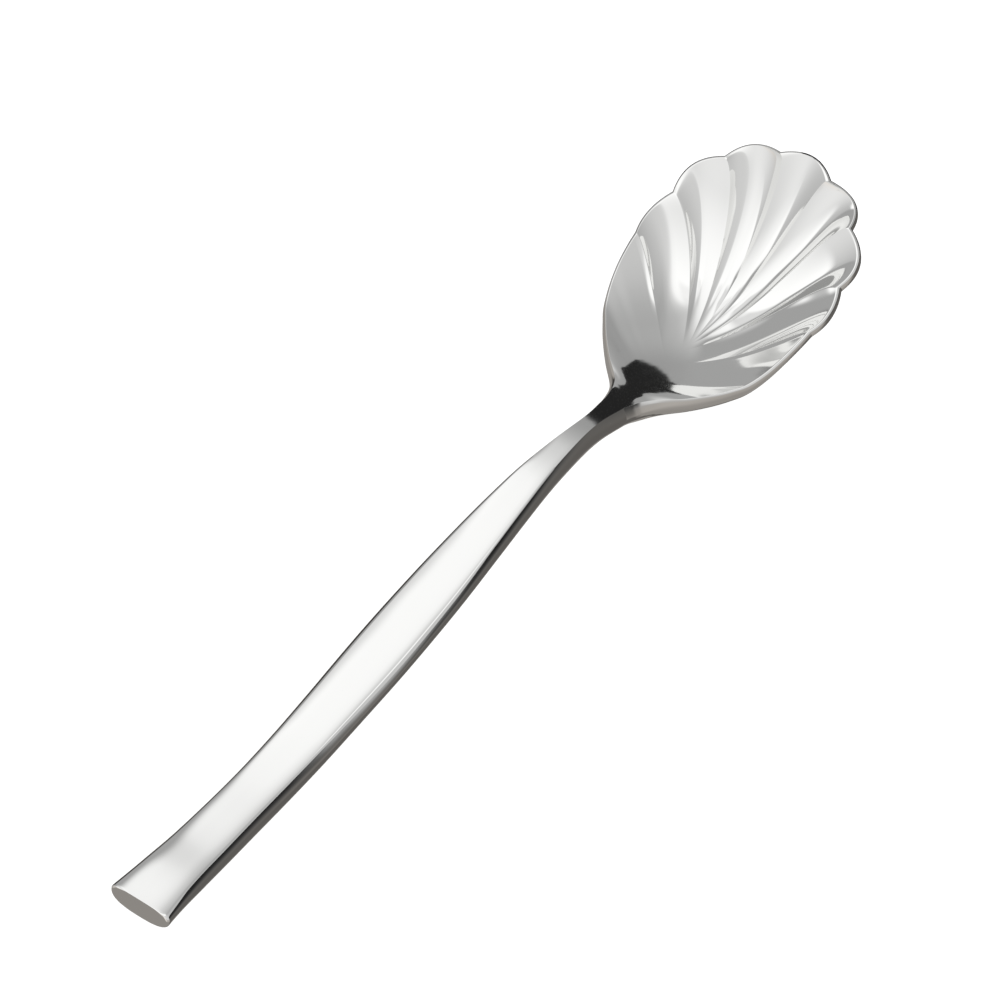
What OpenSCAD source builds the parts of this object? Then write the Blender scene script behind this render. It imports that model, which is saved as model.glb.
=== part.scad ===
// Sugar spoon: one piece of polished stainless steel with a fluted, scalloped bowl, a thin
// neck and a flat-topped D-section handle that flares to a square end.
// Millimetres. +X runs from the handle's end to the bowl's tip, +Y to the left, +Z up. The
// spoon stands on a table at Z = 0, on the handle's waist and the bottom of the bowl, and the
// origin is halfway along it. Places along it are counted from the square end.

/* [Overall] */
// length from the square end to the tip of the bowl
spoon_l = 154.9; // [120:0.1:190]

/* [Handle] */
// width of the flat top face at the square end
end_w = 8.2; // [6.5:0.1:11]
// width of the top face at the waist
waist_w = 6.1; // [5:0.1:8]
// width of the top face at the belly, past the waist
belly_w = 6.9; // [5.5:0.1:9]
// width of the top face where the neck is thinnest
neck_w = 2.1; // [1.6:0.1:3.5]
// thickness at the square end
end_t = 3.7; // [3:0.1:4.5]
// thickness at the waist, which stands on the table
waist_t = 4.4; // [3.4:0.1:5]
// thickness at the belly
belly_t = 3.8; // [3:0.1:4.5]
// thickness of the neck
neck_t = 4.4; // [3.2:0.1:5]
// height of the top face at the square end
end_h = 5.8; // [5:0.1:7]
// height of the top face at the crown of the arch
crown_h = 10.6; // [9:0.1:13]
// how far the rounded shoulder stands out past the flat top face
shoulder_out = 0.45; // [0.3:0.01:0.6]
// how far the side stands out past the shoulder
side_out = 0.3; // [0.05:0.01:0.4]
// depth of the rounded shoulder
shoulder_drop = 0.5; // [0.3:0.05:0.7]
// edge break round the square end face
end_break = 0.5; // [0.2:0.05:0.8]

/* [Heel] */
// width of the top face where the neck runs into the bowl
heel_w = 3; // [2.4:0.1:4]
// height of the top face there
heel_h = 7.05; // [6:0.05:8]
// thickness there
heel_t = 4.1; // [3:0.1:4.5]
// height of the rim at its lowest, beside the heel
saddle_h = 5.15; // [4.6:0.05:6]

/* [Bowl] */
// width across the bowl at the first pair of notches
bowl_w = 28.9; // [24:0.1:34]
// height of the rim at the first pair of notches
side_h = 9.4; // [8:0.1:11]
// height of the rim at the front pair of notches
front_h = 16.8; // [14:0.1:18]
// thickness of the bowl's bottom, which stands on the table
bottom_t = 2; // [1.7:0.05:2.3]
// wall thickness of the bowl under the rim
wall_t = 1.3; // [1.1:0.05:1.7]
// height of the rim's outer edge
rim_t = 1; // [0.7:0.05:1.3]
// width of the ground land on top of the rim
land_w = 0.4; // [0.2:0.05:0.6]
// drop across the land
land_drop = 0.1; // [0:0.01:0.2]
// how far the rim's outer edge flares out below the land
flare_out = 0.35; // [0.2:0.05:0.6]
// how far each scallop of one side stands out past the line between its notches
scallop_first = 0.85; // [0.5:0.05:1.4]
scallop_second = 1.9; // [1:0.05:2.4]
scallop_third = 2.15; // [1:0.05:2.4]
// how far the scallop at the tip stands out
scallop_tip = 1.8; // [1:0.05:2.2]
// height of the ribs between the flutes
rib_h = 0.55; // [0.2:0.05:0.8]
// reach over which the flutes fade out towards the heel
flute_fade = 4; // [2:0.5:7]

/* [Detail] */
// stations along one scallop
scallop_n = 10; // [6:1:12]
// stations along each stretch of the plain rim
side_n = 2; // [1:1:3]
// rows from the middle of the bowl to the rim
row_n = 14; // [8:1:16]
// stations along the handle
handle_n = 44; // [24:1:60]
// stations along the neck
neck_n = 18; // [10:1:24]
// steps round one side of the handle's section
round_n = 9; // [6:1:12]

/* [Hidden] */
steel = [0.80, 0.80, 0.79];

// where the handle ends and the neck begins, and where the neck ends and the bowl begins
neck_x = 0.568 * spoon_l;
heel_x = heel_share() * spoon_l;
function heel_share() = 0.6975;

// Flat top face of the handle and neck: [place along the spoon, width].
tail_x_shares = [0, 0.022, 0.043, 0.084, 0.165];
tail_w_shares = [1, 0.69, 0.46, 0.19, 0];
back_x_shares = [0.263, 0.349];
back_w_shares = [0.47, 1];
fore_x_shares = [0.426, 0.49, 0.549, 0.611, 0.662];
fore_w_shares = [0.917, 0.7125, 0.4625, 0.167, 0];
top_w = concat(
    [for (i = [0 : len(tail_x_shares) - 1])
        [tail_x_shares[i] * spoon_l, waist_w + tail_w_shares[i] * (end_w - waist_w)]],
    [for (i = [0 : len(back_x_shares) - 1])
        [back_x_shares[i] * spoon_l, waist_w + back_w_shares[i] * (belly_w - waist_w)]],
    [for (i = [0 : len(fore_x_shares) - 1])
        [fore_x_shares[i] * spoon_l, neck_w + fore_w_shares[i] * (belly_w - neck_w)]],
    [[heel_x, heel_w]]);

// Height of the middle of the top face: [place along the spoon, height].
kick_x_shares = [0, 0.043, 0.084, 0.123, 0.174];
kick_h_shares = [1, 0.81, 0.38, 0.16, 0];
rise_x_shares = [0.225, 0.263, 0.302, 0.34, 0.378, 0.416, 0.454, 0.492, 0.53, 0.571];
rise_h_shares = [0.03, 0.106, 0.206, 0.315, 0.437, 0.56, 0.693, 0.825, 0.935, 1];
fall_x_shares = [0.611, 0.639, 0.668];
fall_h_shares = [0.887, 0.696, 0.383];
top_h = concat(
    [for (i = [0 : len(kick_x_shares) - 1])
        [kick_x_shares[i] * spoon_l, waist_t + kick_h_shares[i] * (end_h - waist_t)]],
    [for (i = [0 : len(rise_x_shares) - 1])
        [rise_x_shares[i] * spoon_l, waist_t + rise_h_shares[i] * (crown_h - waist_t)]],
    [for (i = [0 : len(fall_x_shares) - 1])
        [fall_x_shares[i] * spoon_l, heel_h + fall_h_shares[i] * (crown_h - heel_h)]],
    [[heel_x, heel_h]]);

// Thickness: [place along the spoon, thickness].
thick_x_shares = [0, 0.174, 0.349, 0.6, 0.662];
thick = [
    [thick_x_shares[0] * spoon_l, end_t],
    [thick_x_shares[1] * spoon_l, waist_t],
    [thick_x_shares[2] * spoon_l, belly_t],
    [thick_x_shares[3] * spoon_l, neck_t],
    [thick_x_shares[4] * spoon_l, (neck_t + heel_t) / 2],
    [heel_x, heel_t]];

// Plain rim beside the heel, from the neck to the first notch: place along the spoon, share of
// half the bowl's width, and height between the saddle and the first notch.
plain_x_shares = [0.6975, 0.71, 0.7215, 0.7325, 0.75, 0.768, 0.7835, 0.7965, 0.8145, 0.8325, 0.85, 0.8638];
plain_y_shares = [0, 0.034, 0.08, 0.16, 0.37, 0.56, 0.7, 0.805, 0.895, 0.952, 0.985, 1];
plain_h_shares = [0, 0, 0, 0.01, 0, 0.02, 0.06, 0.15, 0.38, 0.64, 0.85, 1];
dip_h_shares = [1, 0.62, 0.27, 0.03];

// Notches of one side, from the first to the front one, which the scallop at the tip places.
notch_x_shares = [0.8638, 0.9141, 0.96];
notch_y_shares = [1, 0.9586, 0.7241, 0.286];
notch_h_shares = [0, 0.27, 0.757, 1];
scallops = [scallop_first, scallop_second, scallop_third, scallop_tip];
// how far each scallop's edge lies above the line between its notches, in ribs
lift_shares = [-0.4, 0, -0.6, 0.9];

// Inside of the bowl along its middle line, from the heel on, which the wall rises from: place
// and height.
keel_x_shares = [0.6975, 0.723, 0.7489, 0.7747, 0.8005, 0.8263, 0.8522, 0.878, 0.9103];
keel_h_shares = [1, 0.773, 0.539, 0.311, 0.142, 0.032, -0.033, -0.08, -0.1];
keel = [for (i = [0 : len(keel_x_shares) - 1])
    [keel_x_shares[i] * spoon_l, mix(bottom_t, heel_h, keel_h_shares[i])]];
// where the flutes begin on the middle line, and how far that line bends back at the sides
flute_share = 0.838;
flute_bend_share = 0.225;
// bend of the lines from the middle to the rim: [running number of the rim point, bend]
bend_u_shares = [0, 0.5, 0.76, 0.83, 0.9, 0.965, 1];
bend_shares = [1, 1.2, 1.45, 2.2, 1.9, 1.5, 1.5];
// how much of the flare the plain rim beside the heel keeps
plain_flare_share = 0.3;
// run over which the neck's section fades into the bowl
heel_run = 0.42 * bowl_w;
// rise of the wall, fullness of the section
rise_share = 2.5;
full_share = 2.6;
// how deep the section is widest, along the handle and at the square end, and what is left of
// side_out there
wide_share = 0.47;
end_wide_share = 0.34;
end_side_share = 0.5;
// run over which the section changes behind the square end
end_run = 1.1 * end_w;
// the steps of the rounded shoulder
round_out_share = 0.7;
round_drop_share = 0.3;

function slope(t, i) =
    i == 0 ? (t[1][1] - t[0][1]) / (t[1][0] - t[0][0])
    : i == len(t) - 1 ? (t[i][1] - t[i - 1][1]) / (t[i][0] - t[i - 1][0])
    : (t[i + 1][1] - t[i - 1][1]) / (t[i + 1][0] - t[i - 1][0]);
function span(t, x, i = 0) = i >= len(t) - 2 || x <= t[i + 1][0] ? i : span(t, x, i + 1);
// smooth curve through a table of [place, value]
function curve(t, x) =
    let (i = span(t, x), h = t[i + 1][0] - t[i][0], s = min(1, max(0, (x - t[i][0]) / h)),
         r = 1 - s)
    t[i][1] * r * r * (1 + 2 * s) + t[i + 1][1] * s * s * (1 + 2 * r)
    + slope(t, i) * h * s * r * r - slope(t, i + 1) * h * r * s * s;
function ease(s) = let (c = min(1, max(0, s))) c * c * (3 - 2 * c);
function mix(a, b, s) = a + (b - a) * s;

// Half of the D section at one place, from the edge of the top face round to the middle of the
// underside: [out, down].
function half_d(w, t, side, wide, cut = 0) =
    let (out = w / 2 + shoulder_out + side)
    concat(
        [[w / 2 - cut, 0],
         [w / 2 + round_out_share * shoulder_out - cut, round_drop_share * shoulder_drop],
         [w / 2 + shoulder_out - cut, shoulder_drop]],
        [for (k = [0 : round_n])
            let (a = 90 * k / round_n)
            [(out - cut) * pow(cos(a), 2 / full_share),
             wide + (t - wide - cut) * pow(sin(a), 2 / full_share)]]);
function ring(x, cut = 0) =
    let (w = curve(top_w, x), h = curve(top_h, x), t = curve(thick, x), s = ease(x / end_run),
         d = half_d(w, t, mix(end_side_share, 1, s) * side_out,
                    mix(end_wide_share, wide_share, s) * t, cut))
    concat(
        [for (p = d) [x, p[0], h - p[1]]],
        [for (k = [len(d) - 2 : -1 : 0]) [x, -d[k][0], h - d[k][1]]]);

module sweep(rings) {
    n = len(rings[0]);
    m = len(rings);
    translate([-spoon_l / 2, 0, 0]) polyhedron(
        points = [for (r = rings) for (p = r) p],
        faces = concat(
            [[for (k = [n - 1 : -1 : 0]) k]],
            [[for (k = [0 : n - 1]) (m - 1) * n + k]],
            [for (i = [0 : m - 2]) for (k = [0 : n - 1])
                let (a = i * n + k, b = i * n + (k + 1) % n)
                [a, b, b + n, a + n]]));
}

module handle() {
    color(steel)
        sweep(concat(
            [ring(0, end_break)],
            [for (i = [0 : handle_n]) ring(mix(end_break, neck_x, i / handle_n))]));
}

module neck() {
    color(steel)
        sweep([for (i = [0 : neck_n]) ring(mix(neck_x, heel_x, i / neck_n))]);
}

// Rim of one side as [x, y, z] on a running number: the plain stretches first, then a number a
// scallop, the last one ending at the tip after half a scallop.
plain_n = len(plain_x_shares) - 1;
rim_end = plain_n + len(notch_y_shares) - 0.5;
plain_h = [for (i = [0 : plain_n])
    saddle_h + plain_h_shares[i] * (side_h - saddle_h)
    + (i < len(dip_h_shares) ? dip_h_shares[i] * (heel_h - saddle_h) : 0)];
plain_x = [for (i = [0 : plain_n]) [i, plain_x_shares[i] * spoon_l]];
bend = [for (i = [0 : len(bend_shares) - 1]) [bend_u_shares[i] * rim_end, bend_shares[i]]];
heel_o = heel_w / 2 + round_out_share * shoulder_out;
plain_y = [for (i = [0 : plain_n]) [i, mix(heel_o, bowl_w / 2, plain_y_shares[i])]];
plain_z = [for (i = [0 : plain_n]) [i, plain_h[i]]];
notch = [for (i = [0 : len(notch_y_shares) - 1])
    [i < len(notch_x_shares) ? notch_x_shares[i] * spoon_l : spoon_l - flare_out - scallop_tip,
     notch_y_shares[i] * bowl_w / 2, mix(side_h, front_h, notch_h_shares[i])]];
function notch_at(i) = i < len(notch) ? notch[i] : [notch[i - 1][0], -notch[i - 1][1], notch[i - 1][2]];
function rim(u) =
    u <= plain_n ? [curve(plain_x, u), curve(plain_y, u), curve(plain_z, u)]
    : let (i = min(len(notch) - 1, floor(u - plain_n)), f = u - plain_n - i,
           a = notch_at(i), b = notch_at(i + 1), l = norm([b[0] - a[0], b[1] - a[1]]),
           g = 4 * f * (1 - f))
      mix(a, b, f) + g * [scallops[i] * (a[1] - b[1]) / l, scallops[i] * (b[0] - a[0]) / l,
                          lift_shares[i] * rib_h];

// Where the line to each rim point leaves the bowl's middle line.
root_u_shares = [0, 0.2, 0.4, 0.55, 0.76, 0.83, 0.9, 0.97, 1];
root_x_shares = [0.6975, 0.726, 0.744, 0.757, 0.781, 0.807, 0.817, 0.822, 0.824];
root = [for (i = [0 : len(root_u_shares) - 1])
    [root_u_shares[i] * rim_end, root_x_shares[i] * spoon_l]];

// Rib between two flutes: 1 on the rib, 0 in the middle of a flute.
function rib(u) =
    let (s = u - plain_n)
    s < 0 ? pow(max(0, 1 + s / 2.5), 3)
    : let (f = s - floor(s)) pow(abs(2 * f - 1), 1.8);

// What is left of the neck's section at a place on the middle line: 1 at the heel, 0 in the bowl.
function heel(x0) = 1 - ease((x0 - heel_x) / heel_run);

// Inner surface of one side: u along the rim, v from the middle line (0) to the rim (1).
function inner(u, v) =
    let (x0 = curve(root, u), o = rim(u),
         land = mix(land_w, round_out_share * shoulder_out, heel(x0)),
         l = norm([o[0] - x0, o[1]]), r = o + (land / l) * [x0 - o[0], -o[1], 0],
         x = x0 + (r[0] - x0) * (1 - pow(1 - v, curve(bend, u))), y = u >= rim_end ? 0 : r[1] * v,
         d = norm([x - x0, y]) / norm([r[0] - x0, r[1]]),
         start = flute_share * spoon_l - flute_bend_share * y * y / bowl_w,
         grow = ease((x - start) / flute_fade) * ease(1.3 * d))
    [x, y, curve(keel, x) + (r[2] - curve(keel, r[0])) * pow(d, rise_share)
           + rib_h * rib(u) * grow * (1 - pow(v, 4))];

// Depth of the neck's section at y, carried on into the bowl's heel.
function bar_side(u) = rim(u)[1] + (1 - round_out_share) * shoulder_out + side_out;
function bar(u, y) =
    let (wide = wide_share * heel_t)
    wide + (heel_t - wide) * pow(1 - pow(min(1, y / bar_side(u)), full_share), 1 / full_share);

// Depth of the metal below the inner surface.
function depth(u, v, y) =
    let (x0 = curve(root, u), o = rim(u),
         steep = rise_share * v * (o[2] - bottom_t) / norm([o[0] - x0, o[1]]))
    mix(mix(bottom_t, wall_t, ease(v)) * sqrt(1 + steep * steep), bar(u, y), heel(x0));

// How far the rim's outer edge stands out past the land.
function flare(u) = flare_out * mix(plain_flare_share, 1, ease(1 + (u - plain_n) / 3));

// Section of one side from the middle line over the inner surface, round the rim and back
// along the underside.
round_shares = [0.12, 0.4];
function rows(u) =
    let (o = rim(u), x0 = curve(root, u), c = heel(x0),
         out = [o[0] - x0, o[1], 0] / norm([o[0] - x0, o[1]]),
         low = o + mix(flare(u), bar_side(u) - o[1], c) * out - [0, 0, mix(rim_t, wide_share * heel_t, c)],
         lip = inner(u, 1), foot = lip - [0, 0, depth(u, 1, lip[1])])
    concat(
        [for (k = [0 : row_n]) inner(u, k / row_n)],
        [o - [0, 0, mix(land_drop, round_drop_share * shoulder_drop, c)],
         o + mix(round_out_share * flare(u), (1 - round_out_share) * shoulder_out, c) * out
           - [0, 0, mix(rim_t / 2, shoulder_drop, c)],
         low],
        [for (s = round_shares)
            let (y = mix(bar_side(u), lip[1], s))
            mix(mix(low, foot, s), o + (y - o[1]) * out - [0, 0, bar(u, y)], c)],
        [for (k = [row_n : -1 : 0])
            let (v = k / row_n, p = inner(u, v)) [p[0], p[1], p[2] - depth(u, v, p[1])]]);

stations = concat(
    [for (i = [0 : plain_n * side_n - 1]) i / side_n],
    [for (i = [0 : (rim_end - plain_n) * scallop_n]) plain_n + i / scallop_n]);

module bowl() {
    left = [for (u = stations) rows(u)];
    n = len(left[0]);
    m = len(stations);
    right = [for (i = [0 : m - 2]) [for (p = left[i]) [p[0], -p[1], p[2]]]];
    // the middle points of both sides and all of the last station are shared
    function at(side, i, k) = side == 0 || i == m - 1 || k == 0 || k == n - 1
        ? i * n + k : m * n + i * n + k;
    color(steel) translate([-spoon_l / 2, 0, 0])
        polyhedron(
            points = concat([for (r = left) for (p = r) p], [for (r = right) for (p = r) p]),
            faces = concat(
                [concat([for (k = [n - 1 : -1 : 0]) at(0, 0, k)], [for (k = [1 : n - 2]) at(1, 0, k)])],
                [for (i = [0 : m - 2]) for (k = [0 : n - 2]) for (s = [0, 1])
                    let (a = at(s, i, k), b = at(s, i, k + 1), c = at(s, i + 1, k + 1),
                         d = at(s, i + 1, k),
                         pair = k < n / 2 ? [[a, b, d], [b, c, d]] : [[a, b, c], [a, c, d]])
                    for (f = pair) s == 0 ? f : [f[2], f[1], f[0]]]));
}

bowl();
neck();
handle();
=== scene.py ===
"""Sugar spoon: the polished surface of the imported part, its camera and its light."""

import math

import bmesh
import bpy
import numpy as np
from mathutils import Matrix, Vector


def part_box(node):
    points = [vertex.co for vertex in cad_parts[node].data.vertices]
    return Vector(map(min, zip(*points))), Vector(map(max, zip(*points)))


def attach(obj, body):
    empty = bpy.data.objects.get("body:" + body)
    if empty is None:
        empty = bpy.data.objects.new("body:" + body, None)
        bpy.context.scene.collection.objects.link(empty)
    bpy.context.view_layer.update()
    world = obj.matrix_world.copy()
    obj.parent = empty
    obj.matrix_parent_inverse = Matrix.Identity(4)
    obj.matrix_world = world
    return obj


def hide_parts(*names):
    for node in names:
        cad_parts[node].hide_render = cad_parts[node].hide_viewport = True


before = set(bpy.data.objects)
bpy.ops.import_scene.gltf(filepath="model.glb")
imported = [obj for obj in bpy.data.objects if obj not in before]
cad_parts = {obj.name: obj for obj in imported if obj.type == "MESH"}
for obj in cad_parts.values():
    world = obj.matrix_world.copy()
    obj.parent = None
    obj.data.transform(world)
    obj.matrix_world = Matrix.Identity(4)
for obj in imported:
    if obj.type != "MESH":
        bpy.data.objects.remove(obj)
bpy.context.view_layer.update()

# Lengths on the spoon are millimetres, and places along it are counted from its square end
MM = 0.001
# Added to a length that is divided by, in case it is zero
TINY = 1e-9


def node_box(name):
    """Lowest and highest corner of a solid, in millimetres."""
    lo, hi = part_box(name)
    return np.array(lo) / MM, np.array(hi) / MM


HANDLE_LO, HANDLE_HI = node_box("handle")
BOWL_LO, BOWL_HI = node_box("bowl")
SPOON_L = BOWL_HI[0] - HANDLE_LO[0]
NECK_X = HANDLE_HI[0] - HANDLE_LO[0]
HEEL_X = BOWL_LO[0] - HANDLE_LO[0]
# The skins stop this far above the lowest point of the solids
REST_GAP = 0.002
REST_Z = min(BOWL_LO[2], HANDLE_LO[2]) + REST_GAP

# Shares of the spoon's length at which the bowl's heel and the first notch lie
HEEL_SHARE, FIRST_NOTCH = 0.6975, 0.8638

# Handle and neck: width of the top face, thickness, and height of the top face
END_W, WAIST_W, BELLY_W, NECK_W, HEEL_W = 8.2, 6.1, 6.9, 2.1, 3.0
END_T, WAIST_T, BELLY_T, NECK_T, HEEL_T = 3.7, 4.4, 3.8, 4.4, 4.1
END_H, CROWN_H, HEEL_H = 5.8, 10.6, 7.05
# How far the shoulder stands out past the top face and the side past the shoulder, and the
# break of the edge round the square end
SHOULDER_OUT, SIDE_OUT, END_BREAK = 0.45, 0.3, 0.5
# How far the top face's edges lie below its middle at the square end, and how late they fall
TOP_CROWN, CROWN_POWER = 0.3, 4
# Share of the thickness at which the section is widest, along the bar and at the square end,
# what is left of SIDE_OUT at the end, and the run over which this changes
WIDE, END_WIDE, END_SIDE = 0.47, 0.34, 0.5
END_RUN = 1.1 * END_W
# How full the underside is, and the flank below the top face's edge on the handle and the neck
FULL, HANDLE_FLANK, NECK_FLANK = 2.6, 2.0, 1.35

# Bowl: width and height of the rim at the first notches, and its height at the front notches
# and beside the heel
BOWL_W, SIDE_H, FRONT_H, SADDLE_H = 28.9, 9.4, 16.8, 5.15
BOTTOM_T, WALL_T, RIM_T = 2.0, 1.3, 1.0
# Width of the rim's land, the drop across it, and how far the outer edge flares out below it
LAND_W, LAND_DROP, FLARE_OUT = 0.4, 0.1, 0.35
# What the rim beside the heel keeps of the flare, and the stretches over which the rest grows
PLAIN_FLARE, FLARE_RUN = 0.3, 3
# Share of the flare and of the shoulder at which the edge turns down
ROUND_OUT = 0.7
# How far each scallop stands out past the line between its notches, and lies above it
SCALLOPS = np.array([0.85, 1.9, 2.15, 1.8])
LIFTS = np.array([-0.22, 0, -0.33, 0.49])
# Run over which the neck's section fades into the bowl, and the stretches of the rim over which
# the neck's smoothed height gives way to the rim's own
HEEL_RUN = 0.42 * BOWL_W
HEEL_FADE = 2

# Flutes: share of the spoon's length at which they begin on the middle line, how far that start
# bends back at the sides, the run over which they rise, how late they grow on the way out to the
# rim, and how late they end there
FLUTE_X, FLUTE_BEND, FLUTE_FADE, FLUTE_GROW, FLUTE_END = 0.818, 0.147, 4.0, 2.4, 10
# How much of a flute's flank the rounding of its valley and of its ridge takes
VALLEY_ROUND, RIDGE_ROUND = 0.15, 0.1
# Where the valley of each flute lies at the middle line. At the rim it lies halfway across.
VALLEY_AT = np.array([0.16, 0.16, 0.5, 0.5])
# Stretches over which the first ridge falls to the plain wall, and how steeply
FIRST_RUN, FIRST_POWER = 0.4, 1.5

# How far the curves are averaged to both sides: widths and heights in millimetres, then the
# bend and the root in running numbers of the rim
WIDTH_REACH, HEIGHT_REACH = 2, 1.5
BEND_REACH, ROOT_REACH = 0.5, 0.4

# Stations along the handle, the neck, the plain rim and the scallops
HANDLE_N, NECK_N, PLAIN_STATIONS, SCALLOP_STATIONS = 260, 70, 111, 271
# Rows over half of the handle's top, down its flank and over half of the bowl
BAR_ROWS, FLANK_ROWS, BOWL_ROWS = 14, 17, 70
# Points on the edge break of the square end, and on each arc of the bowl's edge
BREAK_POINTS, ARC_POINTS = 7, 4


def mix(a, b, s):
    return a + (b - a) * s


def ease(s):
    c = np.clip(s, 0, 1)
    return c * c * (3 - 2 * c)


def table(places, values):
    return np.array(places, float), np.array(values, float)


def along(places, values):
    """A table whose places are shares of the spoon's length."""
    return table([SPOON_L * p for p in places], values)


def curve(t, x):
    """Smooth curve through a table, straight on past its ends."""
    places, values = t
    rise = np.empty(len(places))
    rise[0] = (values[1] - values[0]) / (places[1] - places[0])
    rise[-1] = (values[-1] - values[-2]) / (places[-1] - places[-2])
    rise[1:-1] = (values[2:] - values[:-2]) / (places[2:] - places[:-2])
    x = np.asarray(x, float)
    i = np.clip(np.searchsorted(places, x) - 1, 0, len(places) - 2)
    h = places[i + 1] - places[i]
    s = np.clip((x - places[i]) / h, 0, 1)
    r = 1 - s
    inside = values[i] * r * r * (1 + 2 * s) + values[i + 1] * s * s * (1 + 2 * r)
    inside += rise[i] * h * s * r * r - rise[i + 1] * h * r * s * s
    before = rise[0] * np.minimum(x - places[0], 0)
    return inside + before + rise[-1] * np.maximum(x - places[-1], 0)


# Places of the averaged samples, from -1 to 1, and their weights, which fall to the sides
TAPS = np.linspace(-1, 1, 9)
WEIGHTS = (1.05 - TAPS**2) ** 2
WEIGHTS = WEIGHTS / WEIGHTS.sum()


def smooth(t, x, reach):
    """The same curve, averaged over reach to both sides, so that reflections run evenly."""
    x = np.asarray(x, float)
    return sum(w * curve(t, x + k * reach) for k, w in zip(TAPS, WEIGHTS))


# Width of the top face
TOP_W = along(
    [0, 0.022, 0.043, 0.084, 0.165, 0.263, 0.349, 0.426, 0.49, 0.549, 0.611, 0.662, HEEL_SHARE],
    [mix(WAIST_W, END_W, s) for s in (1, 0.69, 0.46, 0.19, 0)]
    + [mix(WAIST_W, BELLY_W, s) for s in (0.47, 1)]
    + [mix(NECK_W, BELLY_W, s) for s in (0.917, 0.7125, 0.4625, 0.167, 0)]
    + [HEEL_W],
)
# Height of the top's middle line: end to waist, waist to crown, crown to heel, bowl's inside
TOP_H = along(
    [0, 0.043, 0.084, 0.123, 0.174]
    + [0.225, 0.263, 0.302, 0.34, 0.378, 0.416, 0.454, 0.492, 0.53, 0.571]
    + [0.611, 0.639, 0.668, HEEL_SHARE]
    + [0.723, 0.7489, 0.7747, 0.8005, 0.8263, 0.8522, 0.878, 0.9103, 1],
    [mix(WAIST_T, END_H, s) for s in (1, 0.81, 0.38, 0.16, 0)]
    + [mix(WAIST_T, CROWN_H, s) for s in (0.03, 0.106, 0.206, 0.315, 0.437)]
    + [mix(WAIST_T, CROWN_H, s) for s in (0.56, 0.693, 0.825, 0.935, 1)]
    + [mix(HEEL_H, CROWN_H, s) for s in (0.887, 0.696, 0.383, 0)]
    + [mix(BOTTOM_T, HEEL_H, s) for s in (0.778, 0.555, 0.343, 0.17, 0.045)]
    + [mix(BOTTOM_T, HEEL_H, s) for s in (-0.033, -0.08, -0.1, -0.1)],
)
# Thickness
THICK = along(
    [0, 0.174, 0.349, 0.6, 0.662, HEEL_SHARE],
    [END_T, WAIST_T, BELLY_T, NECK_T, (NECK_T + HEEL_T) / 2, HEEL_T],
)
# How full the flank is
FLANK = along(
    [0, 0.55, 0.65, 0.66, 1],
    [HANDLE_FLANK, HANDLE_FLANK, NECK_FLANK, NECK_FLANK, NECK_FLANK],
)

# Rim of one side on a running number: one for each plain stretch beside the heel, then one for
# each scallop, up to the middle of the scallop at the tip
PLAIN_N = 11
RIM_END = PLAIN_N + len(SCALLOPS) - 0.5
PLAIN = np.arange(PLAIN_N + 1.0)
PLAIN_XS = [HEEL_SHARE, 0.71, 0.7215, 0.7325, 0.75, 0.768]
PLAIN_XS += [0.7835, 0.7965, 0.8145, 0.8325, 0.85, FIRST_NOTCH]
# Shares of the way out from the heel's edge to the first notch, and of the heights from the
# saddle up to the first notch and up to the heel
PLAIN_YS = np.array([0, 0.034, 0.08, 0.16, 0.37, 0.56, 0.7, 0.805, 0.895, 0.952, 0.985, 1])
PLAIN_HS = np.array([0, 0, 0, 0.01, 0, 0.02, 0.06, 0.15, 0.38, 0.64, 0.85, 1])
DIP_HS = np.array([1, 0.67, 0.37, 0.12, 0.02] + [0] * 7)
HEEL_O = HEEL_W / 2 + ROUND_OUT * SHOULDER_OUT
PLAIN_X = table(PLAIN, [SPOON_L * s for s in PLAIN_XS])
PLAIN_Y = table(PLAIN, mix(HEEL_O, BOWL_W / 2, PLAIN_YS))
PLAIN_Z = table(
    PLAIN, SADDLE_H + PLAIN_HS * (SIDE_H - SADDLE_H) + DIP_HS * (HEEL_H - SADDLE_H)
)
# Notches of one side, and the front one of the other side, which ends the scallop at the tip
NOTCH_X = [SPOON_L * s for s in (FIRST_NOTCH, 0.9141, 0.96)] + [SPOON_L - FLARE_OUT - SCALLOPS[3]]
NOTCH_Y = [1, 0.9586, 0.7241, 0.286]
NOTCH_H = [0, 0.27, 0.757, 1]
NOTCH = np.array(
    [
        [x, y * BOWL_W / 2, mix(SIDE_H, FRONT_H, h)]
        for x, y, h in zip(NOTCH_X, NOTCH_Y, NOTCH_H)
    ]
)
NOTCH = np.vstack([NOTCH, NOTCH[-1] * [1, -1, 1]])
# Bend of the lines from the bowl's middle line to the rim
BEND = table(
    [RIM_END * s for s in (0, 0.5, 0.76, 0.83, 0.9, 0.965, 1)],
    [1, 1.2, 1.37, 1.85, 1.74, 2.35, 2.35],
)
# Where these lines leave the middle line
ROOT = table(
    [RIM_END * s for s in (0, 0.2, 0.4, 0.55, 0.76, 0.83, 0.9, 0.97, 1)],
    [SPOON_L * s for s in (HEEL_SHARE, 0.726, 0.744, 0.757, 0.781, 0.807, 0.817, 0.822, 0.824)],
)
# How late the wall rises from the bowl's bottom
RISE = table([0, 7, 10.5, 12.5, RIM_END], [2.8, 2.8, 2.6, 2.5, 2.5])
# Height of the flutes' relief, before it fades out towards the middle line and the rim
RIB_H = table(
    [PLAIN_N, PLAIN_N + 0.5, PLAIN_N + 1.5, PLAIN_N + 2.5, RIM_END],
    [0.35, 0.35, 0.96, 0.15, 0.18],
)


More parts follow.
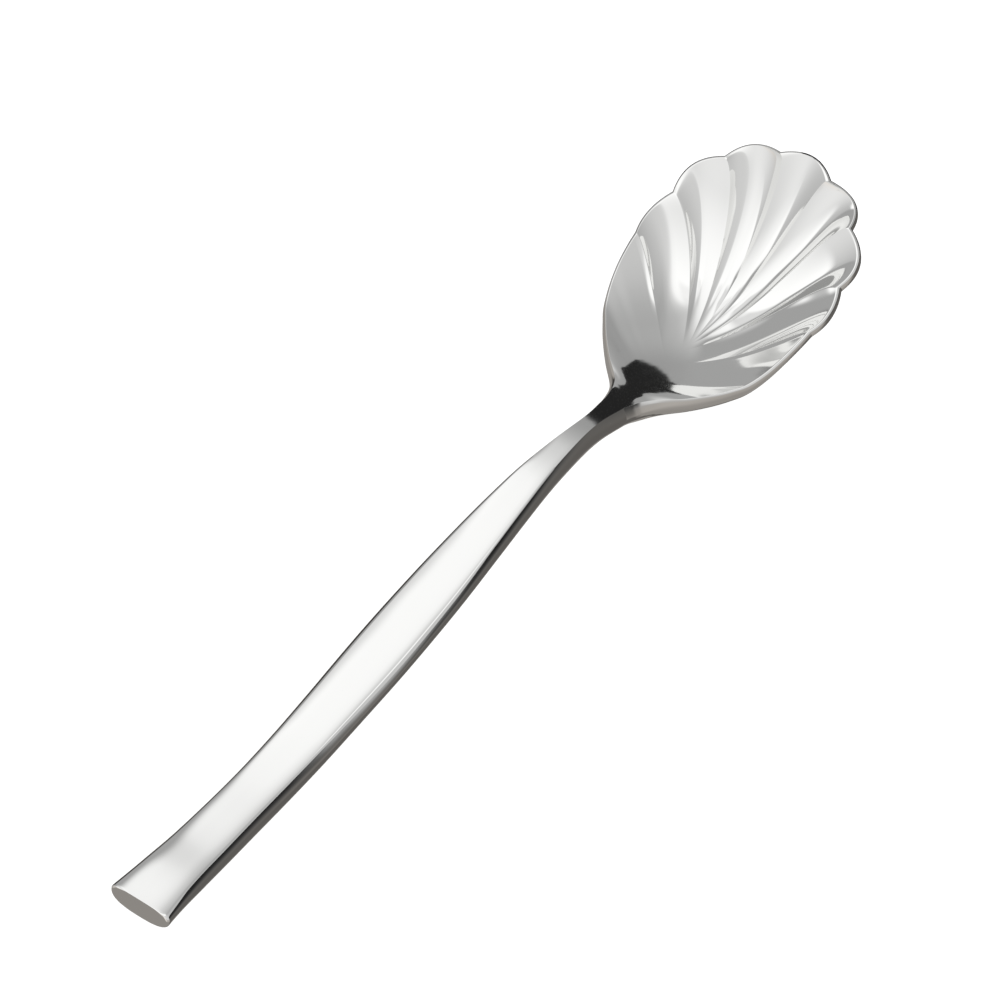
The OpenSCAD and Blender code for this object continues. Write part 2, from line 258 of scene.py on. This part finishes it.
def rim(u):
    """Outer edge of the rim's land at running number u."""
    plain = np.stack([curve(PLAIN_X, u), curve(PLAIN_Y, u), curve(PLAIN_Z, u)], -1)
    i = np.clip(np.floor(u - PLAIN_N).astype(int), 0, len(SCALLOPS) - 1)
    f = (u - PLAIN_N - i)[..., None]
    a, b = NOTCH[i], NOTCH[i + 1]
    span = np.hypot(b[..., 0] - a[..., 0], b[..., 1] - a[..., 1])
    bulge = np.stack(
        [
            SCALLOPS[i] * (a[..., 1] - b[..., 1]) / span,
            SCALLOPS[i] * (b[..., 0] - a[..., 0]) / span,
            LIFTS[i],
        ],
        -1,
    )
    lobe = mix(a, b, f) + 4 * f * (1 - f) * bulge
    return np.where((u <= PLAIN_N)[..., None], plain, lobe)


def rib(u, d):
    """Near 1 on a ridge between two flutes and 0 in a valley, at share d of the way to the rim."""
    place = u - PLAIN_N
    i = np.clip(np.floor(place).astype(int), 0, len(SCALLOPS) - 1)
    f = place - np.floor(place)
    valley = 0.5 + (VALLEY_AT[i] - 0.5) * (1 - np.clip(d, 0, 1))
    t = np.where(f < valley, (valley - f) / valley, (f - valley) / (1 - valley))
    raised = VALLEY_ROUND / 2
    low = np.where(t < VALLEY_ROUND, t * t / VALLEY_ROUND / 2 + raised, t) - raised
    cut = np.where(t > 1 - RIDGE_ROUND, (RIDGE_ROUND - 1 + t) ** 2 / RIDGE_ROUND / 2, 0)
    height = (low - cut) / (1 - raised)
    top = 1 - RIDGE_ROUND / 2 / (1 - raised)
    before = top * np.clip(1 + place / FIRST_RUN, 0, None) ** FIRST_POWER
    return np.where(place < 0, before, height)


def section(u):
    """What the bowl's section at running number u starts from: the place of its root on the
    middle line, the rim's edge, the share of the neck's section in it, its length seen from
    above, its direction, and the land's inner edge."""
    root = np.where(u < ROOT_REACH, curve(ROOT, u), smooth(ROOT, u, ROOT_REACH))
    edge = rim(u)
    heel_gap = smooth(TOP_H, HEEL_X, HEIGHT_REACH) - HEEL_H
    edge[:, 2] += heel_gap * np.clip(1 - u / HEEL_FADE, 0, 1) ** 2
    neck_like = 1 - ease((root - HEEL_X) / HEEL_RUN)
    reach = np.hypot(edge[:, 0] - root, edge[:, 1])
    out = np.stack([(edge[:, 0] - root) / reach, edge[:, 1] / reach, 0 * reach], -1)
    land = mix(LAND_W, ROUND_OUT * SHOULDER_OUT, neck_like)
    return root, edge, neck_like, reach, out, edge - land[:, None] * out


def inner(u, v):
    """Inner surface of one side: u along the rim, v from the middle line to the rim."""
    root, _, _, _, _, lip = section(u)
    root, lip, uu, vv = root[:, None], lip[:, None], u[:, None], v[None, :]
    x = root + (lip[..., 0] - root) * (1 - (1 - vv) ** smooth(BEND, uu, BEND_REACH))
    y = np.where(uu >= RIM_END, 0, lip[..., 1] * vv)
    d = np.hypot(x - root, y) / np.hypot(lip[..., 0] - root, lip[..., 1])
    start = FLUTE_X * SPOON_L - FLUTE_BEND * y * y / BOWL_W
    grow = ease((x - start) / FLUTE_FADE) * d**FLUTE_GROW * (1 - vv**FLUTE_END)
    ridges = curve(RIB_H, np.maximum(uu, PLAIN_N)) * rib(uu + 0 * vv, d) * grow
    floor_z = smooth(TOP_H, x, HEIGHT_REACH)
    wall = (lip[..., 2] - smooth(TOP_H, lip[..., 0], HEIGHT_REACH)) * d ** curve(RISE, uu)
    return np.stack([x, y, floor_z + wall + ridges], -1)


def bar_side(u):
    """How far out the neck's section reaches, carried on into the bowl's heel."""
    return rim(u)[:, 1] + (1 - ROUND_OUT) * SHOULDER_OUT + SIDE_OUT


def bar_depth(u, y):
    """Depth of the neck's section at y, carried on into the bowl's heel."""
    wide = WIDE * HEEL_T
    across = np.minimum(1, y / bar_side(u)[:, None])
    return wide + (HEEL_T - wide) * (1 - across**FULL) ** (1 / FULL)


def depth(u, v, y):
    """Depth of the metal below the inner surface."""
    _, edge, neck_like, reach, _, _ = section(u)
    steep = v[None, :] * (curve(RISE, u) * (edge[:, 2] - BOTTOM_T) / reach)[:, None]
    wall = mix(BOTTOM_T, WALL_T, ease(v))[None, :] * np.sqrt(1 + steep**2)
    return mix(wall, bar_depth(u, y), neck_like[:, None])


# Largest share of the shorter side at a corner that an arc may take
ARC_SHARE = 0.45


def rounded(corners, radii):
    """A line through corners (k, n, 3) with each inner corner turned into an arc."""
    points = []
    for i in range(1, len(corners) - 1):
        back, here, on = corners[i - 1], corners[i], corners[i + 1]
        to_back, to_on = back - here, on - here
        len_back = np.linalg.norm(to_back, axis=-1, keepdims=True) + TINY
        len_on = np.linalg.norm(to_on, axis=-1, keepdims=True) + TINY
        cut = np.minimum(radii[i - 1], ARC_SHARE * np.minimum(len_back, len_on))
        a, b = here + to_back / len_back * cut, here + to_on / len_on * cut
        for s in np.linspace(0, 1, ARC_POINTS):
            points.append(a * (1 - s) ** 2 + 2 * here * s * (1 - s) + b * s * s)
    return np.stack(points, 1)


# Rim's outer edge in shares of the flare, each with its drop below the land's inner edge
LIP_SIDE = [
    (0, LAND_DROP),
    (ROUND_OUT / 2, RIM_T / 4 + LAND_DROP / 2),
    (ROUND_OUT, RIM_T / 2),
    ((1 + ROUND_OUT) / 2, 0.75 * RIM_T),
    (1, RIM_T),
]
# Shares of the way from the edge's lowest point back under the land's inner edge
TURN_SHARES = (0.03, 0.1, 0.25, 0.55)
# Radius at each corner: the land's inner edge, the outer edge, the turns and the underside
EDGE_RADII = [0.1, 0.12, 0.1, 0.15, 0.15, 0.3, 0.05, 0.05, 0.05, 0.1, 0.5]
# Width and depth of the neck's flank, and the share of it at which the rim's edge lies
BAR_OUT, BAR_DROP = SHOULDER_OUT + SIDE_OUT, WIDE * HEEL_T
EDGE_SHARE = 1 - (1 - ROUND_OUT * SHOULDER_OUT / BAR_OUT) ** (1 / NECK_FLANK)


def bar_flank(share):
    """Stand and drop of the neck's flank, counted from the rim's edge."""
    stand = BAR_OUT * (1 - (1 - share) ** NECK_FLANK) - ROUND_OUT * SHOULDER_OUT
    return stand, share * BAR_DROP


def bowl_side(u):
    """One side of the bowl: over the inner surface, round the rim, back underneath."""
    v = np.linspace(0, 1, BOWL_ROWS)
    top = inner(u, v)
    under = top - depth(u, v, top[..., 1])[..., None] * [0, 0, 1]
    _, edge, neck_like, _, out, _ = section(u)
    flare = FLARE_OUT * mix(PLAIN_FLARE, 1, ease(1 + (u - PLAIN_N) / FLARE_RUN))

    def at(stand, drop):
        return edge + stand[:, None] * out - drop[:, None] * [0, 0, 1]

    side = []
    for k, (stand, drop) in zip(np.linspace(0, 1, len(LIP_SIDE)), LIP_SIDE):
        bar_stand, bar_fall = bar_flank(mix(EDGE_SHARE, 1, k))
        side.append(at(mix(stand * flare, bar_stand, neck_like), mix(drop, bar_fall, neck_like)))
    turns = []
    for s in TURN_SHARES:
        y = mix(bar_side(u), top[:, -1, 1], s)
        bar_turn = at(y - edge[:, 1], bar_depth(u, y[:, None])[:, 0])
        turns.append(mix(mix(side[-1], under[:, -1], s), bar_turn, neck_like[:, None]))
    corners = [top[:, -2], top[:, -1]] + side + turns + [under[:, -1], under[:, -2]]
    return np.concatenate([top[:, :-1], rounded(corners, EDGE_RADII), under[:, -2::-1]], 1)


def half_ring(x, cut=0.0):
    """Half of the D section at place x, from the top's middle to the underside's middle. At the
    square end it is cut smaller all round."""
    w, h, t = smooth(TOP_W, x, WIDTH_REACH), smooth(TOP_H, x, HEIGHT_REACH), curve(THICK, x)
    s = ease(x / END_RUN)
    side = mix(END_SIDE, 1, s) * SIDE_OUT
    wide = mix(END_WIDE, WIDE, s) * t
    full = curve(FLANK, x)
    across = np.linspace(0, 1, BAR_ROWS)
    crown = TOP_CROWN * (w / END_W) ** 2 * across**CROWN_POWER
    crown = crown * (1 - ease((x - NECK_X) / (HEEL_X - NECK_X)))
    top = [((w / 2 - cut) * k, c) for k, c in zip(across[:-1], crown)]
    flank = [
        (w / 2 - cut + (SHOULDER_OUT + side) * (1 - (1 - k) ** full), mix(crown[-1], wide, k))
        for k in np.linspace(0, 1, FLANK_ROWS)[:-1]
    ]
    out = w / 2 + SHOULDER_OUT + side - cut
    under = [
        (out * math.cos(a) ** (2 / FULL), wide + (t - wide - cut) * math.sin(a) ** (2 / FULL))
        for a in np.linspace(0, math.pi / 2, 2 * BAR_ROWS)[:-1]
    ] + [(0, t - cut)]
    return np.array([(x, y, h - z) for y, z in top + flank + under])


def square_end():
    """Half rings round the edge break, from the end face on."""
    return [
        half_ring(END_BREAK * (1 - math.cos(a)), END_BREAK * (1 - math.sin(a)))
        for a in np.linspace(0, math.pi / 2, BREAK_POINTS)[:-1]
    ]


def closed_mesh(name, side):
    """A mesh from one side's rows, mirrored across the middle plane, with flat ends."""
    stations = len(side)
    side[..., 2] = np.maximum(side[..., 2], REST_Z)
    other = side * [1, -1, 1]
    loop = np.concatenate([side, other[:, -2:0:-1]], 1)
    count = loop.shape[1]
    i, k = np.meshgrid(np.arange(stations - 1), np.arange(count), indexing="ij")
    nxt = (k + 1) % count
    corners = [i * count + k, i * count + nxt, (i + 1) * count + nxt, (i + 1) * count + k]
    faces = np.stack(corners, -1).reshape(-1, 4).tolist()
    faces.append(list(range(count - 1, -1, -1)))
    faces.append([(stations - 1) * count + j for j in range(count)])
    points = (loop.reshape(-1, 3) - [SPOON_L / 2, 0, 0]) * MM
    mesh = bpy.data.meshes.new(name)
    mesh.from_pydata(points.tolist(), [], faces)
    mesh.validate()
    return mesh


# Distances in metres under which points are joined and edges dissolved
JOIN_DIST, EDGE_DIST = 1e-7, 1e-8


def weld(mesh):
    """Joins points that lie on one another on the middle plane."""
    bm = bmesh.new()
    bm.from_mesh(mesh)
    bmesh.ops.remove_doubles(bm, verts=bm.verts, dist=JOIN_DIST)
    bmesh.ops.dissolve_degenerate(bm, edges=bm.edges, dist=EDGE_DIST)
    bmesh.ops.recalc_face_normals(bm, faces=bm.faces)
    bm.to_mesh(mesh)
    bm.free()


# Edges that turn by more degrees than this stay sharp
SHARP_ANGLE = 50


def add(name, mesh, material, node):
    """Puts a skin in the scene in place of a solid."""
    obj = bpy.data.objects.new(name, mesh)
    bpy.context.scene.collection.objects.link(obj)
    mesh.materials.append(material)
    mesh.shade_smooth()
    mesh.set_sharp_from_angle(angle=math.radians(SHARP_ANGLE))
    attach(obj, "root")
    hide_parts(node)
    return obj


STEEL_COLOUR, POLISHED_ROUGH = (0.80, 0.80, 0.79), 0.055
GROUND_COLOUR, GROUND_ROUGH = (0.6, 0.59, 0.58), 0.5
# Faces whose normal points back along the handle by more than this belong to the end face
END_FACING = 0.98


def steel(name, colour, roughness):
    material = bpy.data.materials.new(name)
    material.use_nodes = True
    shader = material.node_tree.nodes["Principled BSDF"]
    shader.inputs["Base Color"].default_value = (*colour, 1)
    shader.inputs["Metallic"].default_value = 1
    shader.inputs["Roughness"].default_value = roughness
    return material


polished = steel("polished steel", STEEL_COLOUR, POLISHED_ROUGH)
ground = steel("ground end face", GROUND_COLOUR, GROUND_ROUGH)


def handle():
    """The handle, with the ground face of its square end."""
    places = np.linspace(END_BREAK, NECK_X, HANDLE_N)
    rings = np.stack(square_end() + [half_ring(x) for x in places])
    obj = add("handle_skin", closed_mesh("handle_skin", rings), polished, "handle")
    obj.data.materials.append(ground)
    for face in obj.data.polygons:
        if face.normal.x < -END_FACING:
            face.material_index = 1


def neck():
    rings = np.stack([half_ring(x) for x in np.linspace(NECK_X, HEEL_X, NECK_N)])
    add("neck_skin", closed_mesh("neck_skin", rings), polished, "neck")


def bowl():
    """The bowl, whose stations are finer from the last plain stretch before the scallops on."""
    plain = np.linspace(0, PLAIN_N - 1, PLAIN_STATIONS)[:-1]
    scallops = np.linspace(PLAIN_N - 1, RIM_END, SCALLOP_STATIONS)
    mesh = closed_mesh("bowl_skin", bowl_side(np.concatenate([plain, scallops])))
    weld(mesh)
    add("bowl_skin", mesh, polished, "bowl")


# Light tent as the steel sees it: brightness by direction, on a dome. Azimuths run from +X
# towards +Y and elevations up from the horizon, in degrees. A patch with three numbers begins
# and ends at the first two, with soft edges as wide as the third. A pair is one soft edge.
DOME_R, DOME_STEP = 3.0, 0.5

# Softbox overhead, laid out on a level plane: its tone, how it is turned, and how its tone falls
# off across its near edge
SKY, SOFTBOX_TURN = 1.26, math.radians(-59)
SOFTBOX_EDGE = table(
    [-0.37, 0, 0.12, 0.25, 0.43, 0.66, 1.08, 1.72],
    [1.21, 1.11, 0.97, 0.76, 0.57, 0.47, 0.41, 0.37],
)
# Middle of the near edge, how far it moves and how much sharper it is on the right, and how
# far right a direction has to point for all of it
SOFTBOX_MID, SOFTBOX_OFF, SOFTBOX_SHARP, SOFTBOX_RIGHT = 0.55, 0.16, 4.0, 0.9
# The far edge with half its width, the two ends, and the least that a direction has to rise to
# meet the softbox
SOFTBOX_FAR, SOFTBOX_FAR_EDGE, SOFTBOX_ENDS, SOFTBOX_LOW = -2.42, 0.3, (-0.83, 1.46, 1.7), 0.05

# Walls, with a greyer stretch low on the left
WALLS = {"ahead": 0.37, "behind": 0.98, "right": 0.75, "left": 0.57}
LEFT_TONE, LEFT_AZ, LEFT_TOP = 0.43, (28, 100, 10), (34, 46)

# Dimmed patches: over the left wall, near the zenith, and low on the right and behind
EDGE_DIM, EDGE_AZ, EDGE_EL = 0.3, (52, 90, 14), (40, 66, 8)
ZENITH_DIM, ZENITH_AZ, ZENITH_EL = 0.12, (-60, 12, 20), (66, 84, 6)
LOW_DIM, LOW_AZ, LOW_TOP = 0.38, (-150, -60, 14), (-12, 6)

# Table below, and the warm tint that it gives to what lies low
TABLE_TONE, TABLE_TOP = 0.32, (-46, -30)
TABLE_TINT, TINT_TOP = (1, 0.94, 0.88), (-25, 5)

# Dark card ahead: its tone, its right edge with half of that edge's width, its left edge and its
# upper outline
DARK_TONE, DARK_RIGHT, DARK_RIGHT_EDGE, DARK_LEFT = 0.02, -64, 5, 28.5
DARK_TOP = table(
    [-64, -48, -30, 5, 8, 13.5, 15, 18.8, 24, 28],
    [10, 12, 22, 24, 21, 22, 25, 22.3, 18.5, 16.5],
)
# Elevations at which it sinks into the table's tone, on the right and on the left, and the
# azimuths between which the one passes into the other
DARK_SINK_RIGHT, DARK_SINK_LEFT, DARK_SINK_TURN = (-45, 5), (-54, -40), (-20, -4)

# Darker patches: low ahead on the right, and low on the left
FLANK_TONE, FLANK_AZ, FLANK_TOP = 0.13, (-56, -12, 10), (-30, 0)
CORNER_TONE, CORNER_AZ, CORNER_EL = 0.06, (38, 75, 16), (-38, 8, 10)


def soft_step(x, start, end):
    return ease((x - start) / (end - start))


def between(x, low, high, edge):
    """1 from low to high and 0 outside, with soft edges."""
    begun = soft_step(x, low - edge / 2, low + edge / 2)
    ended = soft_step(x, high - edge / 2, high + edge / 2)
    return begun * (1 - ended)


def softbox(x, y, z, right):
    """Share of the softbox's tone in a direction."""
    up = np.maximum(z, SOFTBOX_LOW)
    plane_x, plane_y = x / up, y / up
    c, s = math.cos(SOFTBOX_TURN), math.sin(SOFTBOX_TURN)
    across, length = plane_x * c + plane_y * s, -plane_x * s + plane_y * c
    moved = across - SOFTBOX_MID - SOFTBOX_OFF * right
    near = SOFTBOX_MID + moved * mix(1, SOFTBOX_SHARP, right)
    places, tones = SOFTBOX_EDGE
    share = (np.interp(near, places, tones) - tones[-1]) / (tones[0] - tones[-1])
    far_start, far_end = SOFTBOX_FAR - SOFTBOX_FAR_EDGE, SOFTBOX_FAR + SOFTBOX_FAR_EDGE
    share = share * soft_step(across, far_start, far_end)
    return share * between(length, *SOFTBOX_ENDS) * (z > SOFTBOX_LOW)


def dark_card(az, el):
    """Share and tone of the dark card in a direction."""
    begun = soft_step(az, DARK_RIGHT - DARK_RIGHT_EDGE, DARK_RIGHT + DARK_RIGHT_EDGE)
    share = begun * (az < DARK_LEFT) * (el < np.interp(az, *DARK_TOP))
    sunk_right, sunk_left = soft_step(el, *DARK_SINK_RIGHT), soft_step(el, *DARK_SINK_LEFT)
    clear = mix(sunk_right, sunk_left, soft_step(az, *DARK_SINK_TURN))
    return share, mix(TABLE_TONE, DARK_TONE, clear)


def tent(d):
    """Colour seen in direction d (n, 3)."""
    x, y, z = d.T
    az = np.degrees(np.arctan2(y, x))
    el = np.degrees(np.arcsin(np.clip(z, -1, 1)))
    level = np.hypot(x, y) + TINY
    to_x, to_y = x / level, y / level
    walls = to_x**2 * np.where(to_x > 0, WALLS["ahead"], WALLS["behind"])
    walls = walls + to_y**2 * np.where(to_y > 0, WALLS["left"], WALLS["right"])
    tone = mix(walls, SKY, softbox(x, y, z, soft_step(-to_y, 0, SOFTBOX_RIGHT)))
    tone = mix(tone, LEFT_TONE, between(az, *LEFT_AZ) * (1 - soft_step(el, *LEFT_TOP)))
    tone = tone * (1 - EDGE_DIM * between(az, *EDGE_AZ) * between(el, *EDGE_EL))
    tone = tone * (1 - ZENITH_DIM * between(az, *ZENITH_AZ) * between(el, *ZENITH_EL))
    tone = tone * (1 - LOW_DIM * between(az, *LOW_AZ) * (1 - soft_step(el, *LOW_TOP)))
    tone = mix(tone, TABLE_TONE, 1 - soft_step(el, *TABLE_TOP))
    share, dark = dark_card(az, el)
    tone = mix(tone, dark, share)
    tone = mix(tone, FLANK_TONE, between(az, *FLANK_AZ) * (1 - soft_step(el, *FLANK_TOP)))
    tone = mix(tone, CORNER_TONE, between(az, *CORNER_AZ) * between(el, *CORNER_EL))
    tint = 1 - (1 - np.array(TABLE_TINT)) * (1 - soft_step(el, *TINT_TOP))[:, None]
    return tone[:, None] * tint


def glow_by_point():
    """Material that glows with the colour stored in each point of its mesh."""
    material = bpy.data.materials.new("light tent")
    material.use_nodes = True
    nodes, links = material.node_tree.nodes, material.node_tree.links
    nodes.clear()
    tone_in = nodes.new("ShaderNodeAttribute")
    tone_in.attribute_name = "tone"
    emit = nodes.new("ShaderNodeEmission")
    out = nodes.new("ShaderNodeOutputMaterial")
    links.new(tone_in.outputs["Color"], emit.inputs["Color"])
    links.new(emit.outputs["Emission"], out.inputs["Surface"])
    material.cycles.emission_sampling = "NONE"
    return material


def stage_piece(name, mesh, material):
    """Puts a piece of the surroundings in the scene."""
    mesh.materials.append(material)
    obj = bpy.data.objects.new(name, mesh)
    bpy.context.scene.collection.objects.link(obj)
    return obj


def light_tent():
    """The dome of light, which shows in the steel only."""
    az = np.radians(np.arange(0, 360, DOME_STEP))
    el = np.radians(np.arange(-90, 90 + DOME_STEP, DOME_STEP))
    a, e = np.meshgrid(az, el)
    d = np.stack([np.cos(a) * np.cos(e), np.sin(a) * np.cos(e), np.sin(e)], -1).reshape(-1, 3)
    n = len(az)
    faces = [
        (r * n + k, r * n + (k + 1) % n, (r + 1) * n + (k + 1) % n, (r + 1) * n + k)
        for r in range(len(el) - 1)
        for k in range(n)
    ]
    mesh = bpy.data.meshes.new("light_tent")
    mesh.from_pydata((d * DOME_R).tolist(), [], faces)
    tone = mesh.attributes.new("tone", "FLOAT_COLOR", "POINT")
    colours = np.concatenate([tent(d), np.ones((len(d), 1))], 1)
    tone.data.foreach_set("color", colours.ravel().astype(np.float32))
    obj = stage_piece("light_tent", mesh, glow_by_point())
    obj.visible_camera = False
    obj.visible_diffuse = False
    obj.visible_shadow = False
    obj.visible_transmission = False


# Floor, which glows so that the camera sees it white, and doesn't show in the steel
FLOOR_SIZE, FLOOR_TONE, FLOOR_GLOW = 6, 0.35, 0.9
WHITE = (1, 1, 1, 1)


def floor():
    material = bpy.data.materials.new("white floor")
    material.use_nodes = True
    shader = material.node_tree.nodes["Principled BSDF"]
    shader.inputs["Base Color"].default_value = (FLOOR_TONE, FLOOR_TONE, FLOOR_TONE, 1)
    shader.inputs["Roughness"].default_value = 1
    shader.inputs["Specular IOR Level"].default_value = 0
    shader.inputs["Emission Color"].default_value = WHITE
    shader.inputs["Emission Strength"].default_value = FLOOR_GLOW
    half = FLOOR_SIZE / 2
    corners = [(-half, -half, 0), (half, -half, 0), (half, half, 0), (-half, half, 0)]
    mesh = bpy.data.meshes.new("floor")
    mesh.from_pydata(corners, [], [(0, 1, 2, 3)])
    stage_piece("floor", mesh, material).visible_glossy = False


def white_room():
    """White surroundings, and colours shown as they are."""
    world = bpy.data.worlds.new("white room")
    bpy.context.scene.world = world
    world.use_nodes = True
    world.node_tree.nodes["Background"].inputs["Color"].default_value = WHITE
    world.node_tree.nodes["Background"].inputs["Strength"].default_value = 1
    bpy.context.scene.view_settings.view_transform = "Standard"


# Camera at the photograph's viewing angle: its place in metres, its angles in degrees, the lens
# and the sensor in millimetres, and the nearest and farthest that it sees
CAMERA_AT = Vector((-0.717886, -0.401084, 0.973413))
CAMERA_AZ, CAMERA_EL, CAMERA_ROLL = 29.10, 49.37, 7.81
CAMERA_LENS, SENSOR = 342.56, 36
CLIP_NEAR, CLIP_FAR = 0.05, 50


def aim_camera():
    az, el, roll = (math.radians(k) for k in (CAMERA_AZ, CAMERA_EL, CAMERA_ROLL))
    back = Vector((-math.cos(az) * math.cos(el), -math.sin(az) * math.cos(el), math.sin(el)))
    level = Vector((0, 0, 1)).cross(back).normalized()
    above = back.cross(level)
    right = level * math.cos(roll) + above * math.sin(roll)
    up = back.cross(right)
    camera = bpy.data.objects.new("camera", bpy.data.cameras.new("camera"))
    bpy.context.scene.collection.objects.link(camera)
    rotation = Matrix((right, up, back)).transposed()
    camera.matrix_world = Matrix.Translation(CAMERA_AT) @ rotation.to_4x4()
    camera.data.lens = CAMERA_LENS
    camera.data.sensor_width = SENSOR
    camera.data.clip_start, camera.data.clip_end = CLIP_NEAR, CLIP_FAR
    bpy.context.scene.camera = camera


handle()
neck()
bowl()
light_tent()
floor()
white_room()
aim_camera()
